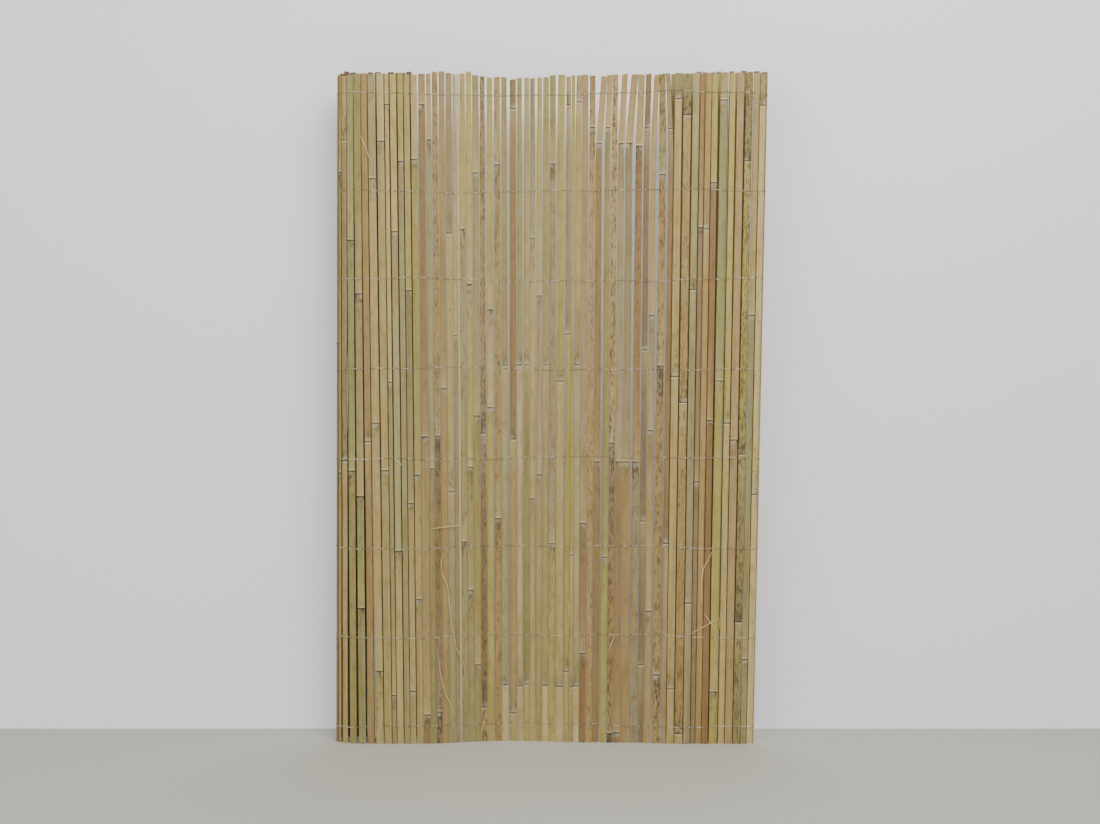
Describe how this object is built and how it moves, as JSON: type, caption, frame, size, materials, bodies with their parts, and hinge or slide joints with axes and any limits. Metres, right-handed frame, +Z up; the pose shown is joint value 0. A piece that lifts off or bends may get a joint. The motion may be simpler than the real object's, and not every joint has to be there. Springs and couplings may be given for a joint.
{
  "type": "bamboo screen",
  "caption": "Upright screen of split bamboo slats bound side by side with rows of tie wire, its two ends turned back behind the front so that it stands alone.",
  "frame": {"origin": "on the ground, under the middle of the standing screen", "axes": "+X along the front from left to right as seen from the front, +Y to the back, where the ends are turned, +Z up along the slats"},
  "size_m": [0.9822, 0.0768, 1.5303],
  "materials": {
    "split_bamboo": "dry split bamboo",
    "tie_wire": "galvanised"
  },
  "bodies": {
    "root": {"front_slats_01_02": "split_bamboo", "front_slats_03_04": "split_bamboo", "front_slats_05_06": "split_bamboo", "front_slats_07_08": "split_bamboo", "front_slats_09_10": "split_bamboo", "front_slats_11_12": "split_bamboo", "front_slats_13_14": "split_bamboo", "front_slats_15_16": "split_bamboo", "front_slats_17_18": "split_bamboo", "front_slats_19_20": "split_bamboo", "front_slats_21_22": "split_bamboo", "front_slats_23_24": "split_bamboo", "front_slats_25_26": "split_bamboo", "front_slats_27_28": "split_bamboo", "front_slats_29_30": "split_bamboo", "front_slats_31_32": "split_bamboo", "front_slats_33_34": "split_bamboo", "front_slats_35_36": "split_bamboo", "front_slats_37_38": "split_bamboo", "front_slats_39_40": "split_bamboo", "front_slats_41_42": "split_bamboo", "front_slats_43_44": "split_bamboo", "front_slats_45_46": "split_bamboo", "front_slats_47_48": "split_bamboo", "front_slats_49_50": "split_bamboo", "front_slats_51_52": "split_bamboo", "front_slats_53_54": "split_bamboo", "front_slats_55_56": "split_bamboo", "left_return_slats_01_02": "split_bamboo", "left_return_slats_03_04": "split_bamboo", "left_return_slats_05_06": "split_bamboo", "left_return_slats_07_08": "split_bamboo", "left_return_slats_09_10": "split_bamboo", "left_turn_slats_01_02": "split_bamboo", "left_turn_slats_03_04": "split_bamboo", "left_turn_slats_05_06": "split_bamboo", "left_turn_slats_07_08": "split_bamboo", "right_return_slats_01_02": "split_bamboo", "right_return_slats_03_04": "split_bamboo", "right_return_slats_05_06": "split_bamboo", "right_return_slats_07_08": "split_bamboo", "right_return_slats_09_10": "split_bamboo", "right_return_slats_11_12": "split_bamboo", "right_turn_slats_01_02": "split_bamboo", "right_turn_slats_03_04": "split_bamboo", "right_turn_slats_05_06": "split_bamboo", "wire_row_1": "tie_wire", "wire_row_2": "tie_wire", "wire_row_3": "tie_wire", "wire_row_4": "tie_wire", "wire_row_5": "tie_wire", "wire_row_6": "tie_wire", "wire_row_7": "tie_wire", "wire_row_8": "tie_wire"}
  },
  "joints": []
}
